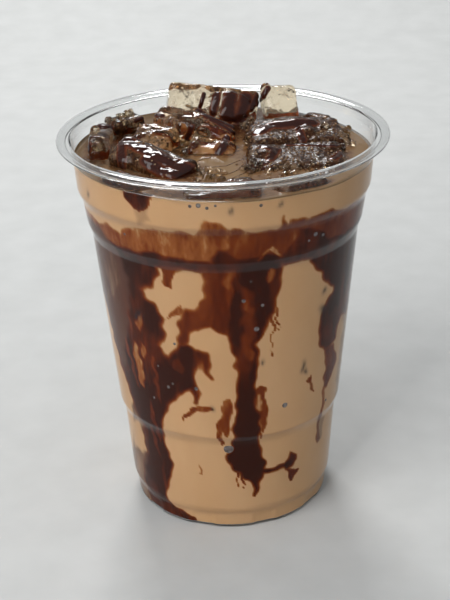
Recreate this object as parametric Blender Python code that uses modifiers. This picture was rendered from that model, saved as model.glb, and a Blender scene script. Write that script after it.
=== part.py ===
"""Iced coffee in a clear disposable cup, with melting ice and dark syrup.

Blender 4.5 script: metres, +Z up. The cup stands on z = 0 with its axis on Z, and the shown side
faces -Y. Sizes below are in millimetres and are turned into metres where a mesh is finished.
"""
import math
import random

import bmesh
import bpy

MM = 0.001
GAP = 0.3           # left between pieces that touch in the real cup
SEGMENTS = 48       # round the cup and the drink

# Cup: the outer side from under the rim down to the foot, as (radius, height)
WALL = 0.6
TOP_LEDGE = [(43.7, 104.2), (42.4, 101.2)]
STACKING_LEDGE = [(41.4, 94.2), (40.1, 90.2)]
LOW_LEDGE = [(34.75, 34.5), (33.5, 31.3)]
FOOT_LEDGE = [(31.7, 8.0), (30.9, 5.6)]
OUTER_SIDE = [(44.6, 115.5)] + TOP_LEDGE + STACKING_LEDGE + LOW_LEDGE + FOOT_LEDGE + [(30.6, 0.6)]
RIM_RADIUS = 49.0
RIM_CENTRE_HEIGHT = 118.0
BEAD_HALF_WIDTH = 2.0
BEAD_HALF_HEIGHT = 1.1
BEAD_ARC_DEG = (180, -130)      # from the mouth side, over the top, to the underside
BEAD_POINTS = 11
FOOT_RING = (30.2, 28.4)        # outer and inner radius of the ring the cup stands on
BASE_RECESS = (27.8, 2.6)       # radius and height of the hollow under the base
FLOOR_HEIGHT = 3.2

# Drink: filled up to this height
DRINK_LEVEL = 112.3

# Ice: centre, size and turn in degrees about X, Y, Z of each block that breaks the surface
ICE = {
    "ice_rear_left": ((-3.2, 30.6, 113.2), (29, 12, 19), (-30, 8, -1)),
    "ice_rear_right": ((18.9, 30.1, 113.5), (11.5, 12, 19), (-22, -5, 4)),
    "ice_centre": ((-8.0, 13.6, 114.8), (26, 9, 10), (20, 13, -20)),
    "ice_centre_front": ((-3.6, 1.0, 111.0), (15.5, 9, 8), (24, 5, -10)),
    "ice_left_back": ((-20.2, 5.3, 113.0), (14, 12, 10), (20, 3, -20)),
    "ice_front_left": ((-20.6, -12.2, 110.9), (27, 13, 12.5), (18, 8, -38)),
    "ice_left": ((-36.0, 0.4, 111.2), (7, 12, 16), (-4, 0, -6)),
    "ice_far_left": ((-36.2, 12.6, 110.2), (5.2, 7.5, 14), (0, 0, 18)),
    "ice_far_left_back": ((-29.8, 22.8, 110.6), (12, 9, 13), (0, 0, 38)),
    "ice_right_back": ((21.7, 9.2, 109.6), (29, 18.5, 14), (8, 0, 2)),
    "ice_right_front": ((20.8, -9.9, 108.6), (29.5, 16.5, 13), (10, 1, 3)),
    "ice_rear_low": ((30.0, 26.6, 108.8), (10, 5.4, 12), (0, 0, -42)),
    "ice_front": ((-1.0, -34.5, 107.2), (22, 12, 14), (2, -6, 4)),
    "ice_front_far_left": ((-27.0, -25.5, 108.2), (17, 8.5, 13), (0, 2, -46)),
    "ice_front_right": ((20.5, -30.8, 108.2), (16, 9, 13), (0, 0, 34)),
}
ICE_BEND = {"ice_centre": 2.0}  # how far the ends of a crescent block come forward
BEND_CUTS = 5
MELT = 1.0                      # most that a corner has melted back along each axis
EDGE_RADIUS = 2.1
EDGE_SHARE = 0.22               # a thin block has smaller edges: this share of its thinnest side
EDGE_STEPS = 3
SHARP_DEG = 45

# Thick syrup lying on the ice: place as a share of the block's half size, and radii
SYRUP = {
    "ice_rear_left": [((0.35, -0.95, 0.3), (7.5, 1.5, 4.5)), ((-0.25, -0.9, 0.45), (2.0, 1.4, 3.0))],
    "ice_rear_right": [((-0.7, -0.7, 0.75), (2.2, 1.8, 3.0))],
    "ice_centre": [((-0.5, -0.75, 0.6), (1.8, 1.6, 2.2)), ((0.3, -0.75, 0.8), (2.0, 1.6, 1.6))],
    "ice_centre_front": [((-0.65, -0.1, 0.85), (1.6, 2.2, 1.2)), ((0.45, -0.05, 0.9), (1.8, 2.2, 1.1))],
    "ice_front_left": [((-0.1, -0.05, 0.92), (9.5, 3.8, 1.0))],
    "ice_far_left": [((0.0, -0.1, 0.95), (1.8, 2.8, 0.8))],
    "ice_right_back": [((-0.1, 0.45, 0.9), (9.0, 3.2, 1.4)), ((0.25, -0.25, 0.9), (2.6, 3.8, 1.3))],
    "ice_right_front": [((-0.6, 0.2, 0.88), (3.0, 4.0, 1.4)), ((0.7, 0.4, 0.9), (2.0, 2.4, 1.5))],
}
SYRUP_RINGS = (12, 6)           # segments round and along a syrup patch


def clear_scene():
    for old in list(bpy.data.objects):
        bpy.data.objects.remove(old)


def new_collection(name):
    collection = bpy.data.collections.new(name)
    bpy.context.scene.collection.children.link(collection)
    return collection


def plain_material(name, colour, roughness, transmission=0.0, ior=1.45):
    """One Principled material; nothing in the cup is metallic."""
    material = bpy.data.materials.new(name)
    material.use_nodes = True
    shader = material.node_tree.nodes["Principled BSDF"]
    shader.inputs["Base Color"].default_value = (*colour, 1.0)
    shader.inputs["Roughness"].default_value = roughness
    shader.inputs["Metallic"].default_value = 0.0
    shader.inputs["Transmission Weight"].default_value = transmission
    shader.inputs["IOR"].default_value = ior
    return material


def add_object(name, shape, collection, material=None):
    """Turn a bmesh in millimetres into an object whose mesh is in metres."""
    bmesh.ops.scale(shape, vec=(MM, MM, MM), verts=shape.verts)
    mesh = bpy.data.meshes.new(name)
    shape.to_mesh(mesh)
    shape.free()
    mesh.shade_smooth()
    if material:
        mesh.materials.append(material)
    obj = bpy.data.objects.new(name, mesh)
    collection.objects.link(obj)
    return obj


def turned(name, profile, collection, material):
    """Turn a profile of (radius, height) points about Z; both of its ends lie on the axis."""
    shape = bmesh.new()
    points = [shape.verts.new((radius, 0.0, height)) for radius, height in profile]
    for start, end in zip(points, points[1:]):
        shape.edges.new((start, end))
    obj = add_object(name, shape, collection, material)
    screw = obj.modifiers.new("turn", "SCREW")
    screw.axis = "Z"
    screw.angle = math.tau
    screw.steps = SEGMENTS
    screw.render_steps = SEGMENTS
    screw.use_merge_vertices = True
    screw.merge_threshold = 0.00001
    screw.use_smooth_shade = True
    return obj


def outer_radius(height):
    """Radius of the cup's outer side at a height, straight between the named points."""
    for (top_radius, top), (low_radius, low) in zip(OUTER_SIDE, OUTER_SIDE[1:]):
        if low <= height <= top:
            share = (height - low) / (top - low)
            return low_radius + share * (top_radius - low_radius)
    return OUTER_SIDE[-1][0]


def bead_outline():
    """The rolled rim's flattened oval, from its mouth side over the top to its underside."""
    start, end = (math.radians(angle) for angle in BEAD_ARC_DEG)
    centre_radius = RIM_RADIUS - BEAD_HALF_WIDTH
    outline = []
    for step in range(BEAD_POINTS):
        angle = start + (end - start) * step / (BEAD_POINTS - 1)
        radius = centre_radius + BEAD_HALF_WIDTH * math.cos(angle)
        outline.append((radius, RIM_CENTRE_HEIGHT + BEAD_HALF_HEIGHT * math.sin(angle)))
    return outline


def make_cup(collection):
    inner_side = [(radius - WALL, height) for radius, height in reversed(OUTER_SIDE) if height > FLOOR_HEIGHT]
    floor = [(0.0, FLOOR_HEIGHT), (outer_radius(FLOOR_HEIGHT) - WALL, FLOOR_HEIGHT)]
    foot = [(radius, 0.0) for radius in FOOT_RING]
    underside = [BASE_RECESS, (0.0, BASE_RECESS[1])]
    profile = floor + inner_side + bead_outline() + OUTER_SIDE + foot + underside
    plastic = plain_material("clear_plastic", (0.93, 0.95, 0.95), 0.06, transmission=1.0, ior=1.5)
    turned("cup", profile, collection, plastic)


def drink_radius(height):
    return outer_radius(height) - WALL - GAP


def make_drink(collection):
    base = FLOOR_HEIGHT + GAP
    heights = [DRINK_LEVEL]
    heights += [height for _, height in OUTER_SIDE if base < height < DRINK_LEVEL]
    heights.append(base)
    side = [(drink_radius(height), height) for height in heights]
    profile = [(0.0, DRINK_LEVEL)] + side + [(0.0, base)]
    milky = plain_material("milky_coffee", (0.50, 0.31, 0.17), 0.25)
    return turned("coffee", profile, collection, milky)


def bend_block(shape, half_length, bend):
    """Bring both ends of a block forward by bend, so that its front is hollow."""
    if not bend:
        return
    for cut in range(1, BEND_CUTS + 1):
        at = half_length * (2 * cut / (BEND_CUTS + 1) - 1)
        everything = shape.verts[:] + shape.edges[:] + shape.faces[:]
        bmesh.ops.bisect_plane(shape, geom=everything, plane_co=(at, 0, 0), plane_no=(1, 0, 0))
    for vert in shape.verts:
        vert.co.y -= bend * (vert.co.x / half_length) ** 2


def ice_shape(name, grow=0.0):
    """One melted block about its own centre, larger by grow on every side."""
    half = [side / 2 for side in ICE[name][1]]
    melting = random.Random(name)
    shape = bmesh.new()
    bmesh.ops.create_cube(shape, size=2.0)
    for corner in shape.verts:
        for axis in range(3):
            corner.co[axis] *= half[axis] - melting.uniform(0.0, MELT) + grow
    sharp = [edge for edge in shape.edges if edge.calc_face_angle() > math.radians(SHARP_DEG)]
    radius = min(EDGE_RADIUS, EDGE_SHARE * min(ICE[name][1])) + grow
    bmesh.ops.bevel(shape, geom=sharp, offset=radius, offset_type="OFFSET", affect="EDGES",
                    segments=EDGE_STEPS, profile=0.5, material=-1, clamp_overlap=True)
    bend_block(shape, half[0], ICE_BEND.get(name, 0.0))
    return shape


def place(obj, name):
    """Put an object made about a block's own centre where that block lies."""
    centre, _, turn = ICE[name]
    obj.location = [value * MM for value in centre]
    obj.rotation_euler = [math.radians(angle) for angle in turn]


def fuse_syrup(ice, name):
    """Join the block's syrup patches to it, so that each node stays one closed body."""
    patches = new_collection("syrup")
    half = [side / 2 for side in ICE[name][1]]
    rings, rows = SYRUP_RINGS
    for number, (spot, radii) in enumerate(SYRUP[name]):
        shape = bmesh.new()
        bmesh.ops.create_uvsphere(shape, u_segments=rings, v_segments=rows, radius=1.0)
        bmesh.ops.scale(shape, vec=radii, verts=shape.verts)
        centre = [share * side for share, side in zip(spot, half)]
        bend = ICE_BEND.get(name, 0.0)
        centre[1] -= bend * spot[0] ** 2
        bmesh.ops.translate(shape, vec=centre, verts=shape.verts)
        place(add_object(f"{name}_syrup_{number}", shape, patches), name)
    join = ice.modifiers.new("syrup", "BOOLEAN")
    join.operation = "UNION"
    join.operand_type = "COLLECTION"
    join.collection = patches
    join.solver = "EXACT"
    depsgraph = bpy.context.evaluated_depsgraph_get()
    joined = bpy.data.meshes.new_from_object(ice.evaluated_get(depsgraph))
    ice.modifiers.remove(join)
    ice.data = joined
    for patch in list(patches.objects):
        bpy.data.objects.remove(patch)
    bpy.data.collections.remove(patches)


def make_ice(collection):
    for name in ICE:
        frozen = plain_material(f"{name}_frozen", (0.80, 0.76, 0.70), 0.08, transmission=0.8, ior=1.31)
        ice = add_object(name, ice_shape(name), collection, frozen)
        place(ice, name)
        if name in SYRUP:
            fuse_syrup(ice, name)


def cut_round_ice(drink, cutters):
    """Leave room in the drink for every block and the gap round it."""
    for name in ICE:
        cutter = add_object(f"{name}_cutter", ice_shape(name, grow=GAP), cutters)
        place(cutter, name)
        cutter.hide_render = True
        cutter.display_type = "WIRE"
        cut = drink.modifiers.new(f"cut_{name}", "BOOLEAN")
        cut.operation = "DIFFERENCE"
        cut.object = cutter
        cut.solver = "EXACT"


def main():
    clear_scene()
    parts = new_collection("iced_coffee")
    cutters = new_collection("cutters")
    make_cup(parts)
    drink = make_drink(parts)
    make_ice(parts)
    cut_round_ice(drink, cutters)


main()
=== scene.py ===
"""Looks of the iced coffee: clear cup, syrup-streaked drink, wet ice and foam.

Shapes are worked out in millimetres and turned into metres when a piece is finished. Angles round the
cup are in degrees from the front (-Y), positive to the right, and heights are above the table.
"""
import math
import random

import bmesh
import bpy
import numpy as np
from mathutils import Matrix, Vector, noise
from mathutils.bvhtree import BVHTree


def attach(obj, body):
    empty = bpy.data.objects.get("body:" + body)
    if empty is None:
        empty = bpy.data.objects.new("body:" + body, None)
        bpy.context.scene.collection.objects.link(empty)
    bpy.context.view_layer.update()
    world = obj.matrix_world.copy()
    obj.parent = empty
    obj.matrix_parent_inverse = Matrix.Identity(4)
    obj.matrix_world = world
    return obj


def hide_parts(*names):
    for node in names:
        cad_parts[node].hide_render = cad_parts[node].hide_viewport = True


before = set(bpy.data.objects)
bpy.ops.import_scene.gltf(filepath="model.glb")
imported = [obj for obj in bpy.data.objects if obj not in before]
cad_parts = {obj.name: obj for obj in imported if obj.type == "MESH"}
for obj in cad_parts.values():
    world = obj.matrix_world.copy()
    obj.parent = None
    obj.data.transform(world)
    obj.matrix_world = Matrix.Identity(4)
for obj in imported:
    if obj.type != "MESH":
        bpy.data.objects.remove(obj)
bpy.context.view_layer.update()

MM = 0.001

# The photograph's camera, fitted to the cup's rim, ledges and foot
PHOTO_WIDTH = 450
PHOTO_HEIGHT = 600
FOCAL_PIXELS = 1374.3
CAMERA_AT = Vector((-5.03, -387.5, 241.8))
CAMERA_YAW = 0.0112
CAMERA_PITCH = 0.4309
CAMERA_ROLL = -0.0269

# Cup: the outer side as (radius, height), the same steps as the solid's
SIDE = [
    (30.3, 0.5), (30.75, 4.8), (30.9, 5.6), (31.7, 8.0), (33.5, 31.3), (34.75, 34.5),
    (40.1, 90.2), (41.4, 94.2), (42.4, 101.2), (43.7, 104.2), (44.6, 115.5),
]
WALL = 0.45
CUP_STEPS = 192
PROFILE_STEP = 0.5
BEAD_CENTRE = (46.95, 118.0)
BEAD_RADII = (1.5, 0.55)      # of the roll's inner skin; the wall's thickness is added round it
BEAD_ARC_DEG = (190, -120)
BEAD_STEPS = 28
FOOT = [(0.0, 2.7), (26.6, 2.7), (27.6, 2.2), (28.2, 0.9), (28.8, 0.2), (29.5, 0.0)]
LUGS = 10
LUG_DEPTH = 0.35
LUG_TOP = 5.4
LUG_FADE = 1.6
LUG_FROM = 28.5         # only the foot's outer side is pressed in
LUG_STEEPNESS = 3.0
RIM_FROM = 115.6        # above this height the plastic is the thick rolled rim
LEDGES = [(102.6, 104.6), (90.4, 93.2), (33.2, 34.6), (5.0, 6.2)]      # these shine like the rim

# Drink
LEVEL = 112.3
RIPPLES = 6
RIPPLE_WAVES = (0.12, 0.35)
RIPPLE_HEIGHT = 0.06
CLIMB_REACH = 2.5       # how far from the wall the drink starts to climb it
CLIMB_HEIGHT = 0.35
CLIMB_LEAN = 0.75       # so much higher on the left and lower on the right
BASE_BELOW = 5          # faces lower than this are against the plastic
FLAT = 0.7              # a face whose normal rises more than this belongs to the open top
IN_WALL = 0.22          # how far inside the cup's outer side the drink's skin lies
BUBBLE_RISE = 0.16      # how far a bubble stands out of that skin
DRINK_STEPS = 400
DRINK_ROWS = 188
SIDE_FOOT = 1.2         # where the drink's side ends and its base begins
TOP_ROWS = 26
DRINK_BASE = [(29.5, 0.7), (28.6, 0.75), (28.0, 1.8), (27.2, 3.0), (14.0, 3.0), (0.0, 3.0)]
DEGREE = 0.65           # millimetres round the wall for one degree, at middle height


def camera_axes():
    """The camera's right, up and forward directions."""
    forward = Vector((math.sin(CAMERA_YAW) * math.cos(CAMERA_PITCH),
                      math.cos(CAMERA_YAW) * math.cos(CAMERA_PITCH),
                      -math.sin(CAMERA_PITCH)))
    level_right = Vector((math.cos(CAMERA_YAW), -math.sin(CAMERA_YAW), 0.0))
    level_up = level_right.cross(forward)
    right = level_right * math.cos(CAMERA_ROLL) + level_up * math.sin(CAMERA_ROLL)
    up = level_up * math.cos(CAMERA_ROLL) - level_right * math.sin(CAMERA_ROLL)
    return right, up, forward


def pixel_ray(pixel):
    """Direction of the camera's ray through a pixel of the photograph."""
    right, up, forward = camera_axes()
    across = (pixel[0] - PHOTO_WIDTH / 2) / FOCAL_PIXELS
    down = (pixel[1] - PHOTO_HEIGHT / 2) / FOCAL_PIXELS
    return (forward + right * across - up * down).normalized()


def make_camera():
    right, up, forward = camera_axes()
    data = bpy.data.cameras.new("camera")
    data.sensor_width = 36.0
    data.lens = FOCAL_PIXELS * data.sensor_width / PHOTO_HEIGHT
    data.clip_start = 0.01
    camera = bpy.data.objects.new("camera", data)
    axes = Matrix((right, up, -forward)).transposed().to_4x4()
    camera.matrix_world = Matrix.Translation(CAMERA_AT * MM) @ axes
    bpy.context.scene.collection.objects.link(camera)
    bpy.context.scene.camera = camera


def new_material(name):
    """A material whose tree holds only an output: the material, its tree and the output."""
    material = bpy.data.materials.new(name)
    material.use_nodes = True
    tree = material.node_tree
    tree.nodes.clear()
    output = tree.nodes.new("ShaderNodeOutputMaterial")
    return material, tree, output


def principled(tree, colour=(0.8, 0.8, 0.8), roughness=0.5, **sockets):
    """A Principled shader with its constant sockets set on itself."""
    shader = tree.nodes.new("ShaderNodeBsdfPrincipled")
    shader.inputs["Base Color"].default_value = (*colour, 1.0)
    shader.inputs["Roughness"].default_value = roughness
    for socket, value in sockets.items():
        shader.inputs[socket.replace("_", " ")].default_value = value
    return shader


def noise_node(tree, scale, detail=3.0, roughness=0.5, stretch=(1.0, 1.0, 1.0)):
    """Noise on Object coordinates in metres, stretched by a Mapping node."""
    where = tree.nodes.new("ShaderNodeTexCoord")
    mapping = tree.nodes.new("ShaderNodeMapping")
    mapping.inputs["Scale"].default_value = stretch
    pattern = tree.nodes.new("ShaderNodeTexNoise")
    pattern.inputs["Scale"].default_value = scale
    pattern.inputs["Detail"].default_value = detail
    pattern.inputs["Roughness"].default_value = roughness
    tree.links.new(where.outputs["Object"], mapping.inputs["Vector"])
    tree.links.new(mapping.outputs["Vector"], pattern.inputs["Vector"])
    return pattern.outputs["Fac"]


def attribute_node(tree, name):
    node = tree.nodes.new("ShaderNodeAttribute")
    node.attribute_name = name
    return node.outputs["Fac"]


def math_node(tree, operation, first, second):
    """A Math node; each side is a socket or a number."""
    node = tree.nodes.new("ShaderNodeMath")
    node.operation = operation
    for place, value in enumerate((first, second)):
        if isinstance(value, (int, float)):
            node.inputs[place].default_value = value
        else:
            tree.links.new(value, node.inputs[place])
    return node.outputs["Value"]


def with_noise(tree, value, pattern, amount):
    """A value moved up and down by centred noise."""
    centred = math_node(tree, "SUBTRACT", pattern, 0.5)
    return math_node(tree, "ADD", value, math_node(tree, "MULTIPLY", centred, amount))


def ramp_node(tree, value, stops):
    """A colour ramp from a list of (place, colour)."""
    node = tree.nodes.new("ShaderNodeValToRGB")
    elements = node.color_ramp.elements
    while len(elements) < len(stops):
        elements.new(0.5)
    for element, (place, colour) in zip(elements, stops):
        element.position = place
        element.color = (*colour, 1.0)
    tree.links.new(value, node.inputs["Fac"])
    return node.outputs["Color"]


def mix_colour(tree, factor, first, second):
    """Mix two colours, each a socket or a constant, by a factor socket."""
    node = tree.nodes.new("ShaderNodeMix")
    node.data_type = "RGBA"
    tree.links.new(factor, node.inputs["Factor"])
    for socket, value in (("A", first), ("B", second)):
        target = next(s for s in node.inputs if s.name == socket and s.type == "RGBA")
        if isinstance(value, tuple):
            target.default_value = (*value, 1.0)
        else:
            tree.links.new(value, target)
    return next(s for s in node.outputs if s.type == "RGBA")


def above(tree, value, start, steepness):
    """Zero up to start, then rising to one."""
    risen = math_node(tree, "MULTIPLY", math_node(tree, "SUBTRACT", value, start), steepness)
    risen.node.use_clamp = True
    return risen


def blended(tree, factor, first, second):
    """A Mix Shader of two shader nodes."""
    mix = tree.nodes.new("ShaderNodeMixShader")
    tree.links.new(factor, mix.inputs["Fac"])
    tree.links.new(first.outputs[0], mix.inputs[1])
    tree.links.new(second.outputs[0], mix.inputs[2])
    return mix


def bump(tree, shader, height, distance, strength=1.0):
    node = tree.nodes.new("ShaderNodeBump")
    node.inputs["Distance"].default_value = distance
    node.inputs["Strength"].default_value = strength
    tree.links.new(height, node.inputs["Height"])
    tree.links.new(node.outputs["Normal"], shader.inputs["Normal"])


def plastic_material(name, ior):
    """Clear plastic, faintly uneven; the thin wall mirrors less than the rolled rim."""
    material, tree, output = new_material(name)
    shader = principled(tree, (0.985, 0.99, 0.99), 0.03, Transmission_Weight=1.0, IOR=ior)
    bump(tree, shader, noise_node(tree, 90.0, 1.0, stretch=(1.0, 1.0, 0.35)), 0.00025, 0.5)
    tree.links.new(shader.outputs["BSDF"], output.inputs["Surface"])
    return material


# Colours of the drink, from bare milky coffee to the thickest syrup
TAN_WARM = (0.560, 0.328, 0.155)
TAN_PALE = (0.630, 0.400, 0.222)
# The open top's tan is darker than the side's: partly the drink's own tone, partly painted shade from the ice
# and the cup.
SHADED_POOL_DEEP = (0.115, 0.056, 0.015)
SHADED_POOL_PALE = (0.245, 0.138, 0.050)
SYRUP_STOPS = [
    (0.00, (0.560, 0.328, 0.155)),
    (0.07, (0.450, 0.235, 0.095)),
    (0.17, (0.310, 0.105, 0.027)),
    (0.33, (0.190, 0.038, 0.008)),
    (0.58, (0.105, 0.017, 0.005)),
    (0.95, (0.038, 0.009, 0.005)),
]
# The open top's dark ramp: brown syrup stain, deepened by painted shade between and beside the blocks.
STAIN_AND_SHADE_STOPS = [
    (0.00, (0.220, 0.135, 0.066)),
    (0.20, (0.135, 0.064, 0.025)),
    (0.45, (0.062, 0.022, 0.008)),
    (0.85, (0.026, 0.008, 0.004)),
]
MILKY_SYRUP = (0.100, 0.040, 0.025)
SPECK_BLACK = (0.010, 0.020, 0.026)


def drink_material(name, wet):
    """The drink's skin: syrup by the attribute on the mesh, its edges roughened by noise; the open top's
    darker colours are partly painted shade.
    """
    material, tree, output = new_material(name)
    fine = noise_node(tree, 520.0, 4.0, 0.65, stretch=(1.0, 1.0, 0.3))
    broad = noise_node(tree, 75.0, 4.0, 0.55, stretch=(1.0, 1.0, 0.5))
    streaks = noise_node(tree, 230.0, 4.0, 0.6, stretch=(1.0, 1.0, 0.2))
    tan = mix_colour(tree, broad, SHADED_POOL_DEEP if wet else TAN_WARM, SHADED_POOL_PALE if wet else TAN_PALE)
    syrup = attribute_node(tree, "syrup")
    near = above(tree, syrup, 0.0, 7.0)
    uneven = with_noise(tree, with_noise(tree, 0.0, broad, 2.0), streaks, 1.6)
    thick = math_node(tree, "ADD", syrup, math_node(tree, "MULTIPLY", uneven, syrup))
    edges = math_node(tree, "MULTIPLY", with_noise(tree, 0.0, fine, 0.5), near)
    thick = math_node(tree, "ADD", thick, edges)
    dark = ramp_node(tree, thick, STAIN_AND_SHADE_STOPS if wet else SYRUP_STOPS)
    coloured = mix_colour(tree, above(tree, thick, 0.01, 12.0), tan, dark)
    milky = attribute_node(tree, "milky")
    veiled = math_node(tree, "MULTIPLY", milky, math_node(tree, "ADD", streaks, 0.55))
    veiled.node.use_clamp = True
    coloured = mix_colour(tree, veiled, coloured, MILKY_SYRUP)
    coloured = mix_colour(tree, attribute_node(tree, "speck"), coloured, SPECK_BLACK)
    shader = principled(tree, roughness=0.1 if wet else 0.6, Specular_IOR_Level=0.3 if wet else 0.0)
    tree.links.new(coloured, shader.inputs["Base Color"])
    tree.links.new(shader.outputs["BSDF"], output.inputs["Surface"])
    return material


CLEAR_ICE = (0.930, 0.800, 0.600)
FROST_BROWN = (0.300, 0.195, 0.115)
FILM_STOPS = [
    (0.40, (0.014, 0.005, 0.002)),
    (0.58, (0.052, 0.019, 0.007)),
    (0.75, (0.140, 0.072, 0.031)),
]
SYRUP_ON_ICE = [
    (0.00, (0.150, 0.052, 0.016)),
    (0.30, (0.090, 0.020, 0.006)),
    (0.75, (0.028, 0.006, 0.003)),
]


def ice_material():
    """Clear wet ice, in part cloudy or under a brown film, that turns to syrup where the attribute says."""
    material, tree, output = new_material("wet_ice")
    pits = math_node(tree, "MULTIPLY", noise_node(tree, 900.0, 4.0, 0.6), attribute_node(tree, "grain"))
    dents = math_node(tree, "MULTIPLY", noise_node(tree, 240.0, 2.0), 0.7)
    relief = math_node(tree, "ADD", pits, dents)
    ice = principled(tree, CLEAR_ICE, 0.03, Transmission_Weight=1.0, IOR=1.31)
    bump(tree, ice, relief, 0.0006, 0.7)
    frost = principled(tree, FROST_BROWN, 0.25, Specular_IOR_Level=0.15)
    bump(tree, frost, relief, 0.0006, 0.7)
    cloudy = blended(tree, above(tree, noise_node(tree, 230.0, 5.0, 0.65), 0.52, 3.0), ice, frost)
    film = principled(tree, roughness=0.20, Specular_IOR_Level=0.12)
    tree.links.new(ramp_node(tree, noise_node(tree, 700.0, 5.0, 0.7), FILM_STOPS), film.inputs["Base Color"])
    bump(tree, film, relief, 0.0006, 0.7)
    held = with_noise(tree, attribute_node(tree, "film"), noise_node(tree, 330.0, 6.0, 0.7), 3.0)
    filmed = blended(tree, above(tree, held, 0.35, 2.5), cloudy, film)
    syrup = principled(tree, roughness=0.07, Specular_IOR_Level=0.28)
    thick = with_noise(tree, attribute_node(tree, "syrup"), noise_node(tree, 190.0, 4.0, 0.6), 1.3)
    tree.links.new(ramp_node(tree, thick, SYRUP_ON_ICE), syrup.inputs["Base Color"])
    covered = math_node(tree, "MULTIPLY", attribute_node(tree, "syrup"), math_node(tree, "ADD", thick, 0.6))
    coated = blended(tree, above(tree, covered, 0.10, 4.0), filmed, syrup)
    tree.links.new(coated.outputs[0], output.inputs["Surface"])
    return material


def foam_material():
    material, tree, output = new_material("foam_bubbles")
    shader = principled(tree, roughness=0.2, Specular_IOR_Level=0.15, Transmission_Weight=0.2)
    tree.links.new(ramp_node(tree, noise_node(tree, 420.0, 4.0), [
        (0.35, (0.110, 0.055, 0.024)),
        (0.55, (0.240, 0.140, 0.070)),
        (0.75, (0.400, 0.265, 0.155)),
    ]), shader.inputs["Base Color"])
    bump(tree, shader, noise_node(tree, 2200.0, 2.0), 0.0001, 0.5)
    tree.links.new(shader.outputs["BSDF"], output.inputs["Surface"])
    return material


def syrup_material():
    material, tree, output = new_material("dark_syrup")
    shader = principled(tree, roughness=0.08)
    tree.links.new(ramp_node(tree, noise_node(tree, 300.0), [
        (0.35, (0.050, 0.018, 0.007)),
        (0.75, (0.120, 0.045, 0.018)),
    ]), shader.inputs["Base Color"])
    tree.links.new(shader.outputs["BSDF"], output.inputs["Surface"])
    return material


def add_piece(name, shape, materials, nodes=()):
    """Turn a bmesh in millimetres into a smooth piece that rides on the cup's one body."""
    bmesh.ops.scale(shape, vec=(MM, MM, MM), verts=shape.verts)
    for face in shape.faces:
        face.smooth = True
    mesh = bpy.data.meshes.new(name)
    shape.to_mesh(mesh)
    shape.free()
    for material in materials:
        mesh.materials.append(material)
    piece = bpy.data.objects.new(name, mesh)
    bpy.context.scene.collection.objects.link(piece)
    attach(piece, "root")
    if nodes:
        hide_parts(*nodes)
    return piece


def evenly(points, step):
    """Points along a line of (radius, height), no further apart than step."""
    out = [points[0]]
    for (r0, z0), (r1, z1) in zip(points, points[1:]):
        count = max(1, math.ceil(math.hypot(r1 - r0, z1 - z0) / step))
        out += [(r0 + (r1 - r0) * k / count, z0 + (z1 - z0) * k / count) for k in range(1, count + 1)]
    return out


def rounded(points, passes=3):
    """Soften a line's corners by averaging neighbours; its ends stay."""
    for _ in range(passes):
        inner = [tuple((a + 2 * b + c) / 4 for a, b, c in zip(p, q, r))
                 for p, q, r in zip(points, points[1:], points[2:])]
        points = [points[0]] + inner + [points[-1]]
    return points


def spun(profile, steps):
    """Spin a line of (radius, height) about Z into a surface with closed poles and outward faces."""
    shape = bmesh.new()
    line = [shape.verts.new((radius, 0.0, height)) for radius, height in profile]
    edges = [shape.edges.new(pair) for pair in zip(line, line[1:])]
    bmesh.ops.spin(shape, geom=line + edges, cent=(0, 0, 0), axis=(0, 0, 1), dvec=(0, 0, 0),
                   angle=math.tau, steps=steps, use_merge=True)
    bmesh.ops.remove_doubles(shape, verts=shape.verts, dist=0.001)
    bmesh.ops.recalc_face_normals(shape, faces=shape.faces)
    return shape


def side_radius(height):
    """Radius of the cup's outer side at one height or at an array of them."""
    radii, heights = zip(*SIDE)
    return np.interp(height, heights, radii)


def bead_line():
    start, end = (math.radians(angle) for angle in BEAD_ARC_DEG)
    turns = [start + (end - start) * k / BEAD_STEPS for k in range(BEAD_STEPS + 1)]
    return [(BEAD_CENTRE[0] + BEAD_RADII[0] * math.cos(t), BEAD_CENTRE[1] + BEAD_RADII[1] * math.sin(t))
            for t in turns]


def press_lugs(shape):
    """Press the shallow upright hollows into the foot, in the cup and the drink alike."""
    for vert in shape.verts:
        reach = vert.co.xy.length
        if vert.co.z < LUG_TOP and reach > LUG_FROM:
            wave = math.cos(LUGS * math.atan2(vert.co.y, vert.co.x))
            fade = min(1.0, (LUG_TOP - vert.co.z) / LUG_FADE)
            press = max(0.0, min(1.0, LUG_STEEPNESS * wave - 1.0)) * LUG_DEPTH * fade
            vert.co.x *= 1 - press / reach
            vert.co.y *= 1 - press / reach


def make_cup():
    line = rounded(evenly(FOOT + SIDE, PROFILE_STEP), 1) + bead_line()
    shape = spun(line, CUP_STEPS)
    press_lugs(shape)
    halfway = min(shape.faces, key=lambda face: abs(face.calc_center_median().z - LEVEL / 2))
    if halfway.normal.xy.dot(halfway.calc_center_median().xy) < 0:
        bmesh.ops.reverse_faces(shape, faces=shape.faces)
    for face in shape.faces:
        height = face.calc_center_median().z
        on_ledge = any(low < height < high for low, high in LEDGES)
        face.material_index = int(height > RIM_FROM or on_ledge)
    plastics = [plastic_material("clear_plastic_wall", 1.22), plastic_material("clear_plastic_rim", 1.45)]
    cup = add_piece("cup_clear", shape, plastics, ["cup"])
    wall = cup.modifiers.new("wall", "SOLIDIFY")
    wall.thickness = WALL * MM
    wall.offset = -1.0


def merged_copy(node, shrink):
    """A closed copy of a CAD node's mesh in millimetres, its faces moved in by shrink."""
    shape = bmesh.new()
    shape.from_mesh(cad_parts[node].data)
    bmesh.ops.scale(shape, vec=(1 / MM,) * 3, verts=shape.verts)
    bmesh.ops.remove_doubles(shape, verts=shape.verts, dist=0.002)
    shape.normal_update()
    for vert in shape.verts:
        vert.co -= vert.normal * shrink
    return shape


ICE_NODES = [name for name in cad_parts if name.startswith("ice")]


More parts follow.
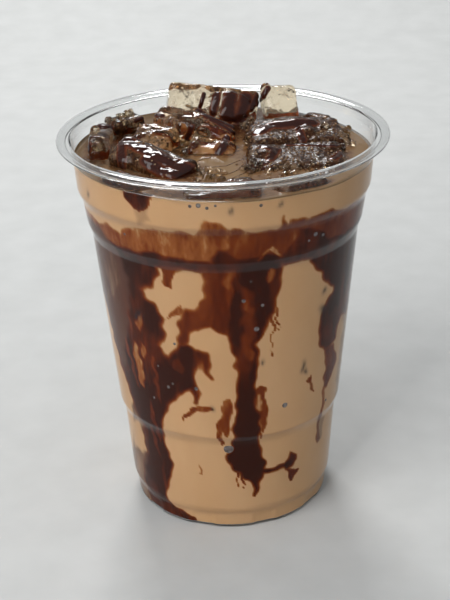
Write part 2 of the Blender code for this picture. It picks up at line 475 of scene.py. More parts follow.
def ice_cutter(shrink=0.3):
    """All the ice as one mesh, a little smaller than it is, so that the drink reaches into it."""
    joined = bpy.data.meshes.new("ice_cutter")
    whole = bmesh.new()
    for node in ICE_NODES:
        shape = merged_copy(node, shrink)
        shape.to_mesh(joined)
        shape.free()
        whole.from_mesh(joined)
    bmesh.ops.scale(whole, vec=(MM, MM, MM), verts=whole.verts)
    whole.to_mesh(joined)
    whole.free()
    cutter = bpy.data.objects.new("ice_cutter", joined)
    bpy.context.scene.collection.objects.link(cutter)
    return cutter


def contact_rise(angle):
    """How far the drink climbs the wall: most on the left."""
    return CLIMB_HEIGHT - CLIMB_LEAN * math.sin(angle)


def drink_line():
    heights = np.linspace(LEVEL, SIDE_FOOT, DRINK_ROWS)
    side = [(side_radius(z) - IN_WALL, float(z)) for z in heights]
    top_radius = side[0][0]
    top = [(top_radius * k / TOP_ROWS, LEVEL) for k in range(TOP_ROWS)]
    return top + side + DRINK_BASE


def front_angle(x, y):
    """Angle round the cup from the front, in radians, positive to the right."""
    return math.atan2(x, -y)


def ripple(spot, turn, wave, phase):
    """Height of one ripple on the open drink."""
    along = spot.x * math.cos(turn) + spot.y * math.sin(turn)
    return RIPPLE_HEIGHT * math.sin(wave * along + phase)


def make_drink():
    shape = spun(drink_line(), DRINK_STEPS)
    draws = random.Random(7)
    ripples = [(draws.uniform(0, math.tau), draws.uniform(*RIPPLE_WAVES), draws.uniform(0, math.tau))
               for _ in range(RIPPLES)]
    edge = side_radius(LEVEL)
    for vert in shape.verts:
        if vert.co.z > LEVEL - 0.01:
            near_wall = max(0.0, 1 - (edge - vert.co.xy.length) / CLIMB_REACH) ** 2
            height = sum(ripple(vert.co, *swing) for swing in ripples)
            vert.co.z += height + near_wall * contact_rise(front_angle(vert.co.x, vert.co.y))
    press_lugs(shape)
    shape.normal_update()
    for face in shape.faces:
        face.material_index = int(abs(face.normal.z) >= FLAT and face.calc_center_median().z >= BASE_BELOW)
    materials = [drink_material("drink_against_wall", False), drink_material("drink_surface", True)]
    drink = add_piece("drink", shape, materials, ["coffee"])
    cutter = ice_cutter()
    cut = drink.modifiers.new("ice", "BOOLEAN")
    cut.operation = "DIFFERENCE"
    cut.solver = "MANIFOLD"
    cut.object = cutter
    depsgraph = bpy.context.evaluated_depsgraph_get()
    holed = bpy.data.meshes.new_from_object(drink.evaluated_get(depsgraph))
    drink.modifiers.remove(cut)
    drink.data = holed
    bpy.data.objects.remove(cutter)
    return drink


# Syrup against the wall, from the photograph: (most, softness in mm, outline of (degrees, height))
BAND_LEFT = [(-90, 100), (-70, 100), (-60, 98), (-52, 100.5), (-45, 99), (-40, 101.5), (-30, 102.5),
             (-20, 103.5), (-12, 103), (-10, 105.5), (-8, 107), (-3, 106), (0, 104), (0, 91.5),
             (-90, 91.5)]
BAND_RIGHT = [(0, 104), (2, 104.5), (6, 103), (18, 103), (20, 104.5), (21, 106.5), (22.5, 103.5),
              (25, 105.5), (31, 104), (35, 105), (42, 105), (48, 103.5), (60, 103), (75, 101), (90, 100),
              (90, 91.5), (0, 91.5)]
LEFT_MASS = [(-50, 92), (-31, 92), (-30.5, 88), (-33, 84), (-38, 82.5), (-41, 82), (-38, 80), (-34, 78),
             (-31, 74), (-30, 70), (-31, 66), (-35, 64), (-33, 62), (-29, 61), (-25, 63), (-22, 66),
             (-18, 66), (-14, 65), (-11, 63), (-9.5, 59), (-9, 55.5), (-11, 57.5), (-14, 60), (-17, 58),
             (-16.5, 53), (-15.5, 50), (-16.5, 47), (-18, 51), (-22, 51), (-27, 48.5), (-31, 45),
             (-35, 40.5), (-38, 35), (-39, 30), (-38, 27), (-36, 25), (-35.5, 22), (-37, 17), (-39.5, 12),
             (-42, 7), (-42, 4), (-60, 4), (-60, 12), (-56, 18), (-53.5, 22), (-54, 27), (-53, 32),
             (-56, 37), (-59, 42), (-63, 48), (-67, 54), (-70, 60), (-72, 66), (-68, 71), (-60, 74),
             (-53, 80), (-51, 86)]
RIGHT_MASS = [(36, 92), (38, 89), (42, 85), (47, 81), (52, 78.5), (53, 76), (50, 73.5), (46, 72),
              (44.5, 68), (45.5, 62), (47, 59.5), (50, 58), (55, 57.5), (59, 59), (60.5, 63), (64, 66),
              (72, 64), (90, 68), (90, 92)]
MIDDLE_RUN = [(2.5, 92), (2, 86), (1, 80), (-1.5, 75), (-1.5, 71), (1, 67), (2.5, 62), (3, 56), (3, 48),
              (2.5, 42), (1.5, 36), (0, 31), (-3, 28), (-2, 25), (1, 22), (5, 20), (9, 18), (11, 15),
              (12, 12), (13.5, 16), (16, 20), (30, 19.8), (31, 18.8), (34, 19.5), (37, 21), (35.5, 23),
              (33, 24), (30.5, 22), (29, 20.8), (17, 21), (16.5, 25), (14, 28), (13.5, 31), (13.5, 36),
              (12, 42), (11, 48), (11, 57), (11.5, 63), (13, 69), (16, 73), (19, 76), (20.5, 81),
              (21.5, 88), (21.5, 92)]
SYRUP_SHAPES = [
    (0.24, 2.2, BAND_LEFT),
    (0.40, 2.0, BAND_RIGHT),
    (0.80, 3.0, [(-90, 95), (-60, 94.5), (-45, 94), (-30, 95.5), (-20, 94), (-12, 93.5), (-5, 94.5),
                 (10, 94.5), (30, 95), (90, 95.5), (90, 91), (-90, 91)]),
    (0.90, 4.0, [(20, 91.5), (40, 91.5), (44, 95), (38, 100), (28, 101.5), (24, 97), (21, 94)]),
    (0.80, 3.0, [(-7, 93), (-4, 97.5), (0, 98), (3, 95), (3, 91.5), (-7, 91.5)]),
    (0.95, 3.6, LEFT_MASS),
    (0.85, 3.2, RIGHT_MASS),
    (0.95, 2.6, MIDDLE_RUN),
    (0.45, 1.0, [(-28, 92), (-22.5, 92), (-22.5, 88), (-24, 84.5), (-26, 85), (-27.5, 88)]),
    (0.62, 3.0, [(-11, 92), (-10, 86), (-11, 80), (-15, 78.5), (-20, 77.5), (-21.5, 76), (-22, 70),
                 (-22, 66), (-19, 66.5), (-17, 70), (-15, 71.5), (-8, 72.5), (-4, 71.5), (-1, 70),
                 (0, 75), (1, 80), (2, 86), (2.5, 92)]),
    (0.55, 2.6, [(51, 58), (52, 50), (53, 43.5), (56, 43), (60, 46.5), (64, 50), (61, 54), (57, 57)]),
    (0.30, 1.0, [(52.2, 44), (54.2, 44), (54.2, 27), (57, 24), (53, 23), (52, 27)]),
    (0.60, 0.8, [(31, 18.3), (35, 17.8), (39, 17.6), (36, 15.8), (33.5, 14.4), (32.5, 16.5)]),
    (0.35, 0.8, [(11, 50), (13.5, 51.5), (16, 50), (17, 45), (16.5, 38), (15.5, 33), (14.5, 36), (14, 40),
                 (12, 42)]),
    (0.60, 0.5, [(1.8, 21), (3.4, 21), (2.8, 16.5)]),
    (0.60, 0.5, [(4.4, 21), (6.0, 21), (5.3, 15.5)]),
    (0.35, 0.8, [(-7, 39), (-5, 44), (-4, 48), (-1, 48.5), (1, 45), (-2, 42), (0, 38), (-2, 35), (-4, 37),
                 (-4.5, 32), (-6, 31)]),
    (0.35, 0.6, [(-24, 38.5), (-23, 41.5), (-20, 44.2), (-16, 45.6), (-10, 45.6), (-8, 44.8), (-12, 44.4),
                 (-17, 43.6), (-20, 42), (-22.5, 40)]),
    (0.25, 0.5, [(-20, 20.3), (-18, 21), (-17, 24), (-16.2, 22), (-17.5, 19.8)]),
    (0.30, 0.5, [(-29, 73.4), (-25, 75.3), (-20, 77.6), (-20.5, 79), (-25, 76.8)]),
    (0.35, 0.4, [(19.8, 91), (21.4, 91), (20.9, 70), (20.3, 70)]),
    (0.30, 0.4, [(17.6, 77), (19.2, 77), (18.7, 61), (18.2, 61)]),
    (0.30, 0.6, [(38, 49.5), (42, 51), (41.6, 48), (45, 45), (42.5, 45.6), (40.5, 48)]),
    (0.90, 1.2, [(-40, 118), (-38, 111), (-36, 108.7), (-33, 108), (-30, 110), (-27, 113), (-26, 118)]),
    (0.80, 1.0, [(-60, 5), (-42, 6.5), (-38, 5), (-30, 3.8), (-24, 2.5), (-24, 0), (-60, 0)]),
]
# Bare places in the syrup, the same way
BARE_SHAPES = [
    (0.85, 1.5, [(-50, 61), (-48, 63), (-45, 57), (-44.5, 51), (-46, 46.5), (-49, 48), (-50.5, 54)]),
    (0.60, 0.8, [(-45.5, 61), (-42, 58), (-41, 60), (-44, 63.5)]),
    (0.70, 1.0, [(-46, 69), (-43, 67), (-40.5, 70), (-40, 73.5), (-43, 71.5)]),
    (0.55, 1.0, [(-43, 45), (-41, 38), (-39.5, 30), (-41, 26), (-43, 32), (-44.5, 38)]),
    (0.50, 1.0, [(-48, 33), (-44, 24), (-41, 22), (-43, 28), (-46, 34)]),
    (0.80, 0.8, [(12.3, 49), (14.5, 48.6), (15, 44), (13.5, 43), (12.3, 45)]),
    (0.75, 0.7, [(12, 92.3), (14, 96), (17, 97.8), (20, 96.4), (21.8, 93), (20, 94), (17, 96), (14.5, 94)]),
    (0.70, 0.8, [(15, 88), (17, 90.6), (19.2, 90), (18.8, 87), (16, 86.3)]),
    (0.45, 1.0, [(-2, 91), (1, 91), (1.5, 86), (0, 84), (-2, 86)]),
    (0.50, 3.0, [(4.5, 87), (8, 85), (11, 78), (11, 68), (8.5, 60), (6, 64), (5, 74)]),
    (0.68, 0.9, [(6, 80.5), (8.5, 81), (9.5, 78.5), (7.5, 76.8), (6, 78)]),
    (0.62, 0.9, [(8, 65), (10, 64.5), (10.3, 61), (8.8, 60.5)]),
    (0.55, 1.2, [(-62, 84), (-59, 83), (-56, 70), (-53, 58), (-50, 46), (-52, 47), (-56, 58), (-60, 70)]),
    (0.45, 1.0, [(-54, 86), (-52, 86), (-50, 74), (-48, 66), (-50, 67), (-53, 76)]),
    (0.50, 0.9, [(-38, 60), (-36.5, 60), (-35.5, 50), (-36.5, 42), (-38, 50)]),
    (0.45, 0.9, [(-42, 22), (-40.5, 22), (-40, 12), (-41.5, 10), (-43, 15)]),
    (0.40, 1.2, [(-27, 60), (-24, 61), (-21, 58), (-23, 55.5), (-26, 57)]),
]
# Syrup stirred into the milk, the same way
MILKY_SHAPES = [
    (0.95, 3.5, [(-90, 97), (-76, 98), (-60, 97), (-50, 92), (-47, 84), (-48, 76), (-51, 68), (-56, 60),
                 (-60, 51), (-64, 52), (-68, 57), (-72, 64), (-76, 70), (-90, 72)]),
    (0.80, 3.0, [(-90, 14), (-78, 14), (-70, 22), (-64, 31), (-57, 39), (-53, 34), (-52, 24), (-55, 17),
                 (-60, 10), (-58, 0), (-90, 0)]),
    (0.50, 2.0, [(51, 33), (60, 31), (58, 24), (54, 23)]),
    (0.40, 6.0, [(64, 66), (70, 60), (68, 45), (72, 30), (84, 26), (98, 33), (94, 50), (99, 66)]),
    (0.35, 2.0, [(-36, 108), (-30, 111), (-29, 106), (-34, 104)]),
]
# Bubbles pressed flat against the wall: (degrees, height, radius)
WALL_BUBBLES = [(-2.0, 30.0, 1.5), (-16.3, 51.5, 0.6), (-30.5, 50.5, 0.55), (-28, 52, 0.4),
                (-25, 66, 0.45), (26.5, 43.5, 0.9), (11.5, 71.5, 0.8), (6, 81, 0.6), (14, 79, 0.5),
                (9, 87, 0.4), (-35, 57, 0.35), (-13, 111.3, 0.5), (-10, 111.6, 0.7), (-7, 110.9, 0.5),
                (-4, 111.6, 0.4), (12, 111.0, 0.5), (36, 98.5, 0.7), (40, 97.5, 0.5), (33, 97, 0.4),
                (-40, 45, 0.4), (56, 38, 0.5), (-43, 99, 0.4)]
MILKY_BARE = [
    (0.90, 3.0, [(-68, 29), (-58, 32), (-54, 28), (-54.5, 22), (-60, 20), (-70, 20)]),
]
# Dark specks where ice touches the wall: (degrees, height, radius)
SPECKS = [(-42, 72.5, 1.6), (-44, 71.5, 1.0), (45, 71.5, 1.6), (46, 78, 1.0), (14, 60, 0.9),
          (36, 55.3, 1.3), (38, 53.5, 1.0), (-9, 45, 1.0), (-63, 107.5, 1.2), (2, 110, 0.8),
          (19, 110.6, 0.9)]


def inside_by(points, outline):
    """How far each flat point lies inside a closed outline; negative outside."""
    ends = np.array(outline) * (DEGREE, 1.0)
    nearest = np.full(len(points), 1e9)
    inside = np.zeros(len(points), bool)
    for start, end in zip(ends, np.roll(ends, -1, axis=0)):
        along = end - start
        share = np.clip(((points - start) @ along) / (along @ along), 0, 1)
        nearest = np.minimum(nearest, np.hypot(*(points - start - share[:, None] * along).T))
        if start[1] != end[1]:
            crosses = (points[:, 1] < start[1]) != (points[:, 1] < end[1])
            at = start[0] + (points[:, 1] - start[1]) * along[0] / along[1]
            inside ^= crosses & (points[:, 0] < at)
    return np.where(inside, nearest, -nearest)


def eased(values):
    values = np.clip(values, 0, 1)
    return values * values * (3 - 2 * values)


SHARPNESS = 0.65        # below one, every outline is sharper than its own softness
EDGE_OUTSIDE = 0.35     # the share of a soft edge that lies outside its outline
WANDER_SWINGS = 10
WANDER_LENGTHS = (4.0, 16.0)


def shape_strength(points, shapes):
    """The strongest of several soft-edged shapes at each point."""
    strength = np.zeros(len(points))
    for most, softness, outline in shapes:
        reach = eased((inside_by(points, outline) / softness + EDGE_OUTSIDE) / SHARPNESS)
        strength = np.maximum(strength, most * reach)
    return strength


def wandering(points, seed, size):
    """A smooth sideways shift of every point, so that no outline stays straight."""
    draws = random.Random(seed)
    shift = np.zeros_like(points)
    for _ in range(WANDER_SWINGS):
        direction = draws.uniform(0, math.tau)
        wave = math.tau / draws.uniform(*WANDER_LENGTHS)
        phase = draws.uniform(0, math.tau)
        swing = np.sin(wave * (points @ (math.cos(direction), math.sin(direction))) + phase)
        turn = draws.uniform(0, math.tau)
        shift += swing[:, None] * (math.cos(turn), math.sin(turn)) * size
    return shift


def write_attribute(mesh, name, values):
    attribute = mesh.attributes.new(name, "FLOAT", "POINT")
    attribute.data.foreach_set("value", np.asarray(values, dtype=np.float32))


def mesh_points(mesh):
    """A mesh's vertices in millimetres."""
    flat = np.empty(len(mesh.vertices) * 3)
    mesh.vertices.foreach_get("co", flat)
    return flat.reshape(-1, 3) / MM


BACK_RAISED = 3.0       # the guessed back repeats the front, raised and wandering more
SEAM = (82, 14)         # from how many degrees and over how many the front passes into the back
WALL_BAND = (3.0, 1.5)  # from how far inside the wall and over how far the side's pattern starts
SPECK_SHAPE = (0.65, 1.1)
SPECK_MOST = 0.85


def painted(fields, shapes, bare):
    """Shapes less their bare places, over fields of (flat points, share)."""
    total = np.zeros(len(fields[0][1]))
    for flat, share in fields:
        here = share > 0
        strength = shape_strength(flat[here], shapes) * (1 - shape_strength(flat[here], bare))
        total[here] += share[here] * strength
    return total


def paint_drink(drink, strokes, ice_tree):
    """Syrup on the drink: against the wall by the outlines, on its top by the strokes and by a stain with
    painted shade near the blocks.
    """
    points = mesh_points(drink.data)
    degrees = np.degrees(np.arctan2(points[:, 0], -points[:, 1]))
    front = np.stack([degrees * DEGREE, points[:, 2]], axis=-1)
    back = np.stack([(degrees - 180 * np.sign(degrees)) * DEGREE, points[:, 2] + BACK_RAISED], axis=-1)
    seam = np.abs(degrees) + wandering(front, 9, 1.2)[:, 0] / DEGREE
    to_back = eased((seam - SEAM[0]) / SEAM[1])
    flat = front + wandering(front, 3, 0.22)
    fields = [(flat, 1 - to_back), (back + wandering(back, 13, 0.40), to_back)]
    syrup = painted(fields, SYRUP_SHAPES, BARE_SHAPES)
    milky = painted(fields, MILKY_SHAPES, MILKY_BARE)
    radius = np.hypot(points[:, 0], points[:, 1])
    on_wall = eased((radius - (side_radius(points[:, 2]) - WALL_BAND[0])) / WALL_BAND[1])
    speck = np.zeros(len(points))
    for angle, height, size in SPECKS:
        away = np.hypot(*((flat - (angle * DEGREE, height)) / SPECK_SHAPE).T)
        speck = np.maximum(speck, np.exp(-(away / size) ** 2))
    # The top's stain is partly painted shade between and beside the blocks; it rides in the syrup attribute.
    on_top = np.maximum(stroke_strength(points, strokes), top_stain_and_shade(points, ice_tree) * (1 - on_wall))
    write_attribute(drink.data, "syrup", np.maximum(syrup * on_wall, on_top))
    write_attribute(drink.data, "milky", milky * on_wall)
    write_attribute(drink.data, "speck", speck * on_wall * SPECK_MOST)


# Syrup on the ice, drawn in the photograph's pixels and laid on the ice by the camera's rays:
# (half width in pixels, points)
ICE_SYRUP = [
    (9.0, [(124, 140), (146, 151), (172, 163), (189, 171)]),
    (6.0, [(122, 143), (122, 165)]),
    (7.5, [(146, 160), (160, 171), (186, 176)]),
    (2.5, [(135, 121), (152, 114), (163, 116)]),
    (3.2, [(192, 127), (187, 138), (187, 151)]),
    (4.5, [(227, 138), (223, 147), (219, 153)]),
    (2.6, [(202, 115), (222, 126), (240, 137)]),
    (3.8, [(198, 111), (217, 121), (238, 129)]),
    (2.4, [(204, 94), (200, 107)]),
    (5.0, [(217, 94), (213, 113)]),
    (9.0, [(231, 95), (227, 117)]),
    (9.0, [(246, 98), (241, 118)]),
    (4.2, [(259, 92), (251, 109)]),
    (4.0, [(223, 116), (242, 121)]),
    (3.4, [(268, 88), (263, 96), (257, 104)]),
    (7.0, [(258, 133), (270, 127), (288, 124), (314, 123)]),
    (4.5, [(298, 126), (303, 140)]),
    (5.5, [(263, 146), (276, 150), (270, 159)]),
    (4.0, [(247, 167), (267, 163)]),
    (4.5, [(334, 159), (341, 153)]),
    (1.8, [(286, 145), (343, 146)]),
    (4.0, [(90, 145), (88, 157)]),
    (4.0, [(98, 126), (112, 127)]),
    (1.6, [(228, 181), (251, 173), (274, 165)]),
]
SURFACE_THREADS = [
    [(194, 163), (203, 159), (209, 158), (215, 154)],
    [(202, 170), (214, 167), (226, 166), (236, 162), (243, 159)],
    [(208, 176), (219, 175), (229, 174), (238, 170), (246, 166)],
    [(226, 181), (238, 176), (247, 172), (258, 168)],
]
THREAD_RADIUS = 0.14
THREAD_STEP = 2.0       # pixels from one joint of a thread to the next
THREAD_SHORTEST = 0.05
THREAD_OVERLAP = 1.15
PIXELS_PER_MM = 3.5
STROKE_DEPTH = 6        # strokes are laid no deeper than this under the drink's level
STROKE_REACH = 8        # and colour nothing deeper than this
STROKE_EDGE = 1.25      # a stroke fades out at this many of its radii
BATCH = 4000


# Brown syrup stain with painted shade on the drink's top between the blocks: (x, y, radius, most), and beside
# every block
TOP_STAINS_AND_SHADE = [(21, 0, 18, 0.50), (-24, -4, 17, 0.50), (-33, 12, 12, 0.50), (0, 23, 14, 0.50),
              (-12, -31, 13, 0.30), (27, 23, 9, 0.30), (16, -30, 14, 0.20), (-39, -8, 9, 0.45),
              (-27, -24, 12, 0.45)]
STAIN_AND_SHADE_BY_ICE = 0.45
STAIN_AND_SHADE_REACH = 2.0
STAIN_AND_SHADE_DEPTH = 1.5
STAIN_AND_SHADE_STEEPNESS = 2.0


def top_stain_and_shade(points, ice_tree):
    """How dark the drink's top is at each point: brown syrup stain and painted shade between and beside the
    blocks.
    """
    stain_and_shade = np.zeros(len(points))
    top = np.nonzero(points[:, 2] > LEVEL - STAIN_AND_SHADE_DEPTH)[0]
    shifted = points[top, :2] + wandering(points[top, :2], 5, 0.5)
    for x, y, radius, most in TOP_STAINS_AND_SHADE:
        away = np.hypot(shifted[:, 0] - x, shifted[:, 1] - y)
        stain_and_shade[top] = np.maximum(stain_and_shade[top], most * eased((radius - away) / radius * STAIN_AND_SHADE_STEEPNESS))
    # Darker near every block: syrup stain and painted shade.
    gaps = np.array([ice_tree.find_nearest(Vector(spot))[3] for spot in points[top]])
    stain_and_shade[top] = np.maximum(stain_and_shade[top], STAIN_AND_SHADE_BY_ICE * np.exp(-gaps / STAIN_AND_SHADE_REACH))
    return stain_and_shade


def surface_tree(objects):
    """One search tree over several pieces, in millimetres."""
    verts, faces = [], []
    for piece in objects:
        first = len(verts)
        verts += [vert.co / MM for vert in piece.data.vertices]
        faces += [[first + index for index in face.vertices] for face in piece.data.polygons]
    return BVHTree.FromPolygons(verts, faces)


def along_pixels(points, step=0.8):
    """Pixels along a line through the given ones."""
    out = []
    for (x0, y0), (x1, y1) in zip(points, points[1:]):
        count = max(1, math.ceil(math.hypot(x1 - x0, y1 - y0) / step))
        out += [(x0 + (x1 - x0) * k / count, y0 + (y1 - y0) * k / count) for k in range(count + 1)]
    return out


def lay_strokes(tree, strokes):
    """Where the camera's rays through each stroke's pixels meet the ice: points and radii."""
    spots, radii = [], []
    for half_width, pixels in strokes:
        for pixel in along_pixels(pixels):
            hit = tree.ray_cast(CAMERA_AT, pixel_ray(pixel))[0]
            if hit and hit.z > LEVEL - STROKE_DEPTH:
                spots.append(tuple(hit))
                radii.append(half_width / PIXELS_PER_MM)
    return np.array(spots), np.array(radii)


def stroke_strength(points, strokes):
    """One inside a stroke, falling to nothing at its edge."""
    spots, radii = strokes
    strength = np.zeros(len(points))
    near = np.nonzero(points[:, 2] > LEVEL - STROKE_REACH)[0]
    for part in np.array_split(near, max(1, len(near) // BATCH)):
        here = points[part]
        squares = (here ** 2).sum(axis=1)[:, None] + (spots ** 2).sum(axis=1) - 2 * here @ spots.T
        gaps = np.sqrt(np.maximum(squares, 0)) / radii
        strength[part] = np.clip(STROKE_EDGE - gaps.min(axis=1), 0, 1)
    return strength


ICE_VOXEL = 0.42
SMOOTHINGS = 4
NEXT_NOISE = Vector((7.3, 1.9, 4.1))        # moves the noise from one block to the next
DIMPLES = [(0.22, 0.45), (0.75, 0.16)]      # (waves in a millimetre, swing) of the melted surface
# How much of each block lies under a brown film, and of the blocks not named
ICE_FILM = {
    "ice_rear_left": 0.22, "ice_rear_right": 0.10, "ice_centre": 0.20, "ice_centre_front": 0.05,
    "ice_left": 0.15, "ice_left_back": 0.40, "ice_front_left": 0.55, "ice_far_left": 0.90,
    "ice_right_back": 0.85, "ice_right_front": 0.80, "ice_front": 0.25,
}
OTHER_FILM = 0.5
FROTHY = ["ice_right_back", "ice_right_front", "ice_rear_low"]
FROTHY_GRAIN = 0.5
SMOOTH_GRAIN = 0.15


def melted(shape_name, seed):
    """Roundness and small hollows of melting ice, worked on a remeshed copy of the node."""
    source = merged_copy(shape_name, 0.0)
    bmesh.ops.scale(source, vec=(MM,) * 3, verts=source.verts)
    mesh = bpy.data.meshes.new(f"{shape_name}_rough")
    source.to_mesh(mesh)
    source.free()
    rough = bpy.data.objects.new(f"{shape_name}_rough", mesh)
    bpy.context.scene.collection.objects.link(rough)
    remesh = rough.modifiers.new("remesh", "REMESH")
    remesh.mode = "VOXEL"
    remesh.voxel_size = ICE_VOXEL * MM
    depsgraph = bpy.context.evaluated_depsgraph_get()
    fine = bpy.data.meshes.new_from_object(rough.evaluated_get(depsgraph))
    bpy.data.objects.remove(rough)
    shape = bmesh.new()
    shape.from_mesh(fine)
    bpy.data.meshes.remove(fine)
    bmesh.ops.scale(shape, vec=(1 / MM,) * 3, verts=shape.verts)
    for _ in range(SMOOTHINGS):
        bmesh.ops.smooth_vert(shape, verts=shape.verts, factor=0.5, use_axis_x=True, use_axis_y=True,
                              use_axis_z=True)
    shape.normal_update()
    offset = NEXT_NOISE * seed
    for vert in shape.verts:
        swell = sum(swing * noise.noise(vert.co * waves + offset) for waves, swing in DIMPLES)
        vert.co += vert.normal * swell
    return shape


def make_ice(wet):
    pieces = []
    for number, node in enumerate(ICE_NODES):
        pieces.append(add_piece(f"{node}_wet", melted(node, number), [wet], [node]))
    return pieces


SYRUP_DEPTH = 0.35


def paint_ice(pieces, strokes):
    """Mark the syrup on each block and raise it a little."""
    for piece in pieces:
        points = mesh_points(piece.data)
        strength = stroke_strength(points, strokes)
        normals = np.empty(len(points) * 3)
        piece.data.vertex_normals.foreach_get("vector", normals)
        raised = points + normals.reshape(-1, 3) * (eased(strength) * SYRUP_DEPTH)[:, None]
        piece.data.vertices.foreach_set("co", (raised * MM).ravel())
        piece.data.update()
        write_attribute(piece.data, "syrup", strength)
        node = piece.name.removesuffix("_wet")
        write_attribute(piece.data, "film", np.full(len(points), ICE_FILM.get(node, OTHER_FILM)))
        grain = FROTHY_GRAIN if node in FROTHY else SMOOTH_GRAIN
        write_attribute(piece.data, "grain", np.full(len(points), grain))


# Froth and clear splinters of ice, in the photograph's pixels: (centre, half width, half height, count)
FOAM = [((298, 158), 50, 11, 330), ((296, 136), 48, 7, 170), ((262, 170), 26, 9, 120),
        ((202, 174), 14, 7, 70), ((128, 119), 14, 8, 60), ((150, 134), 18, 10, 80),
        ((205, 116), 22, 6, 60), ((330, 132), 14, 14, 90), ((252, 128), 7, 12, 50),
        ((160, 168), 30, 10, 60)]
BUBBLE_RADII = (0.10, 0.42)
BIG_ROUGHNESS = 0.12
SMALL_RISE = 0.25       # how far a bubble's middle stands above the ice, in its radii
BIG_RISE = 0.1
BIG_BUBBLES = [((325, 127), 1.4), ((182, 147), 0.9), ((274, 170), 0.9), ((296, 166), 0.8),
               ((312, 163), 0.7)]
SPLINTERS = [((208, 175), 16, 6, 12), ((255, 168), 14, 5, 8), ((300, 171), 34, 5, 14),
             ((118, 119), 12, 5, 7), ((184, 150), 5, 8, 5), ((247, 128), 5, 12, 7),
             ((346, 138), 6, 14, 8), ((92, 135), 6, 12, 6)]
SPLINTER_RADII = (0.7, 1.7)
SPLINTER_ROUGHNESS = 0.7
SPLINTER_FILM = 0.15
TOP_REACH = 42.0        # froth and splinters stay within this radius
TOP_DEPTH = 3           # and no deeper than this under the drink's level
LUMPS = 1.3             # waves of the unevenness in one radius


def scattered_hits(tree, clusters, draws):
    """Points where the camera's rays through random pixels of each cluster meet ice or drink."""
    for (x, y), half_width, half_height, count in clusters:
        for _ in range(count):
            pixel = (x + half_width * draws.uniform(-1, 1), y + half_height * draws.uniform(-1, 1))
            hit = tree.ray_cast(CAMERA_AT, pixel_ray(pixel))[0]
            if hit and hit.z > LEVEL - TOP_DEPTH and hit.xy.length < TOP_REACH:
                yield hit


def copies(template, places, roughness=0.0):
    """Many placed copies of a small closed shape, each made uneven by noise of its own."""
    pattern = bpy.data.meshes.new("pattern")
    template.to_mesh(pattern)
    placed = bpy.data.meshes.new("placed")
    template.clear()
    for place in places:
        stamp = bmesh.new()
        stamp.from_mesh(pattern)
        for vert in stamp.verts:
            swell = roughness * noise.noise(vert.co * LUMPS + place.translation)
            vert.co = place @ (vert.co * (1 + swell))
        stamp.to_mesh(placed)
        stamp.free()
        template.from_mesh(placed)
    bpy.data.meshes.remove(pattern)
    bpy.data.meshes.remove(placed)
    return template


def small_sphere(around, upright):
    """A template sphere of radius one."""
    shape = bmesh.new()
    bmesh.ops.create_uvsphere(shape, u_segments=around, v_segments=upright, radius=1.0)
    return shape


def make_foam(tree, wet):
    """Small bubbles where the photograph shows froth on the ice and at its edges."""
    draws = random.Random(11)
    places = []
    for hit in scattered_hits(tree, FOAM, draws):
        radius = BUBBLE_RADII[0] + (BUBBLE_RADII[1] - BUBBLE_RADII[0]) * draws.random() ** 3
        places.append(Matrix.Translation(hit + Vector((0, 0, radius * SMALL_RISE))) @ Matrix.Scale(radius, 4))
    add_piece("foam", copies(small_sphere(8, 5), places), [foam_material()])
    places = []
    for pixel, radius in BIG_BUBBLES:
        hit = tree.ray_cast(CAMERA_AT, pixel_ray(pixel))[0]
        if hit:
            middle = hit + Vector((0, 0, radius * BIG_RISE))
            places.append(Matrix.Translation(middle) @ Matrix.Scale(radius, 4))
    add_piece("big_bubbles", copies(small_sphere(24, 14), places, BIG_ROUGHNESS), [wet])


def make_splinters(tree, wet):
    """Clear bits of ice, half sunk between the blocks."""
    draws = random.Random(23)
    places = []
    for hit in scattered_hits(tree, SPLINTERS, draws):
        size = [draws.uniform(*SPLINTER_RADII) for _ in range(3)]
        turn = Matrix.Rotation(draws.uniform(0, math.tau), 4, (draws.gauss(0, 1), draws.gauss(0, 1), 1.0))
        places.append(Matrix.Translation(hit) @ turn @ Matrix.Diagonal((*size, 1.0)))
    template = bmesh.new()
    bmesh.ops.create_icosphere(template, subdivisions=3, radius=1.0)
    splinters = add_piece("ice_splinters", copies(template, places, SPLINTER_ROUGHNESS), [wet])
    count = len(splinters.data.vertices)
    write_attribute(splinters.data, "film", np.full(count, SPLINTER_FILM))
    write_attribute(splinters.data, "grain", np.full(count, SMOOTH_GRAIN))
    write_attribute(splinters.data, "syrup", np.zeros(count))


def painted_silver_air_material():
    material, tree, output = new_material("trapped_air")
    shader = principled(tree, roughness=0.2)
    # Grey noise colour: painted reflection, the silvery shine of air pressed against the wall.
    tree.links.new(ramp_node(tree, noise_node(tree, 900.0), [
        (0.35, (0.070, 0.050, 0.045)),
        (0.65, (0.220, 0.190, 0.180)),
    ]), shader.inputs["Base Color"])
    tree.links.new(shader.outputs["BSDF"], output.inputs["Surface"])
    return material


def make_wall_bubbles():
    """Flat bubbles between the drink and the wall, their silvery look a painted reflection in a grey colour.
    """
    places = []
    for degrees, height, radius in WALL_BUBBLES:
        turn = math.radians(degrees)
        reach = side_radius(height) - IN_WALL
        place = Matrix.Translation((reach * math.sin(turn), -reach * math.cos(turn), height))
        pressed = Matrix.Diagonal((radius, BUBBLE_RISE, radius, 1.0))
        places.append(place @ Matrix.Rotation(turn, 4, "Z") @ pressed)
    add_piece("wall_bubbles", copies(small_sphere(16, 10), places), [painted_silver_air_material()])


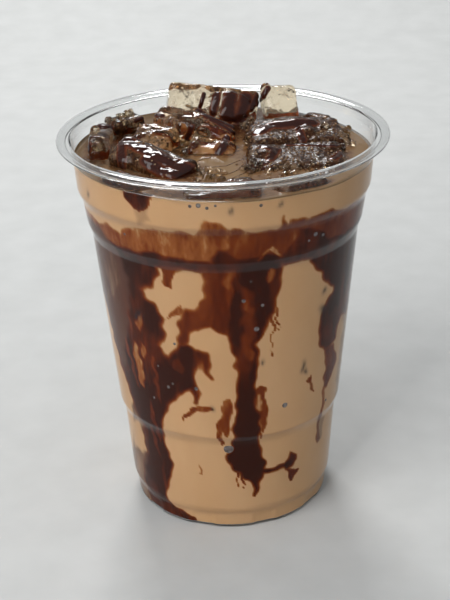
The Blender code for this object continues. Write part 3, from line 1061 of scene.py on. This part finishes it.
def make_threads(tree):
    """Hair-thin syrup lines on the drink's open surface."""
    shape = bmesh.new()
    for pixels in SURFACE_THREADS:
        spots = []
        for pixel in along_pixels(pixels, THREAD_STEP):
            hit = tree.ray_cast(CAMERA_AT, pixel_ray(pixel))[0]
            if hit and abs(hit.z - LEVEL) < 1.0:
                spots.append(hit)
        for start, end in zip(spots, spots[1:]):
            if (end - start).length < THREAD_SHORTEST:
                continue
            turn = (end - start).to_track_quat("Z", "Y").to_matrix().to_4x4()
            bmesh.ops.create_cone(shape, cap_ends=True, segments=6, radius1=THREAD_RADIUS,
                                  radius2=THREAD_RADIUS, depth=(end - start).length * THREAD_OVERLAP,
                                  matrix=Matrix.Translation((start + end) / 2) @ turn)
    add_piece("syrup_threads", shape, [syrup_material()])


FLOOR_END = 0.5         # in metres, like the rest of the floor
FLOOR_CURVE = 0.6


def make_stage():
    """A pale floor that curves up into a pale backdrop."""
    material, tree, output = new_material("pale_floor")
    shader = principled(tree, roughness=0.85)
    tree.links.new(ramp_node(tree, noise_node(tree, 60.0, 5.0), [
        (0.3, (0.47, 0.475, 0.465)),
        (0.7, (0.51, 0.515, 0.505)),
    ]), shader.inputs["Base Color"])
    tree.links.new(shader.outputs["BSDF"], output.inputs["Surface"])
    shape = bmesh.new()
    curve = [(-2.5, 0.0), (FLOOR_END, 0.0)]
    for turn in (k * math.pi / 24 for k in range(1, 13)):
        curve.append((FLOOR_END + FLOOR_CURVE * math.sin(turn), FLOOR_CURVE - FLOOR_CURVE * math.cos(turn)))
    curve += [(FLOOR_END + FLOOR_CURVE, 3.0)]
    line = [shape.verts.new((-3.0, y, z)) for y, z in curve]
    edges = [shape.edges.new(pair) for pair in zip(line, line[1:])]
    grown = bmesh.ops.extrude_edge_only(shape, edges=edges)
    moved = [item for item in grown["geom"] if isinstance(item, bmesh.types.BMVert)]
    bmesh.ops.translate(shape, vec=(6.0, 0.0, 0.0), verts=moved)
    bmesh.ops.recalc_face_normals(shape, faces=shape.faces)
    for face in shape.faces:
        face.smooth = True
    mesh = bpy.data.meshes.new("floor")
    shape.to_mesh(mesh)
    shape.free()
    mesh.materials.append(material)
    floor = bpy.data.objects.new("floor", mesh)
    bpy.context.scene.collection.objects.link(floor)


def area_light(name, at, size, power, colour=(1.0, 1.0, 1.0)):
    """A soft panel that faces the cup's upper half."""
    data = bpy.data.lights.new(name, "AREA")
    data.shape = "RECTANGLE"
    data.size, data.size_y = size
    data.energy = power
    data.color = colour
    light = bpy.data.objects.new(name, data)
    aim = Vector((0.0, 0.0, 0.07)) - Vector(at)
    light.matrix_world = Matrix.Translation(at) @ aim.to_track_quat("-Z", "Y").to_matrix().to_4x4()
    bpy.context.scene.collection.objects.link(light)


def make_lights():
    area_light("key_left", (-0.75, -0.75, 0.95), (0.9, 0.9), 12.0)
    area_light("window_behind", (-0.10, 0.70, 0.75), (0.30, 0.22), 6.0)
    area_light("strip_front_left", (-0.45, -0.9, 0.25), (0.08, 0.5), 2.5)
    world = bpy.data.worlds.new("soft_room")
    world.use_nodes = True
    background = world.node_tree.nodes["Background"]
    background.inputs["Color"].default_value = (0.93, 0.96, 1.0, 1.0)
    background.inputs["Strength"].default_value = 0.52
    bpy.context.scene.world = world
    bpy.context.scene.view_settings.view_transform = "Standard"


def main():
    make_camera()
    make_stage()
    make_lights()
    make_cup()
    wet = ice_material()
    ice = make_ice(wet)
    drink = make_drink()
    ice_tree = surface_tree(ice)
    whole_tree = surface_tree(ice + [drink])
    strokes = lay_strokes(ice_tree, ICE_SYRUP)
    paint_drink(drink, strokes, ice_tree)
    paint_ice(ice, strokes)
    make_foam(whole_tree, wet)
    make_splinters(whole_tree, wet)
    make_threads(whole_tree)
    make_wall_bubbles()


main()
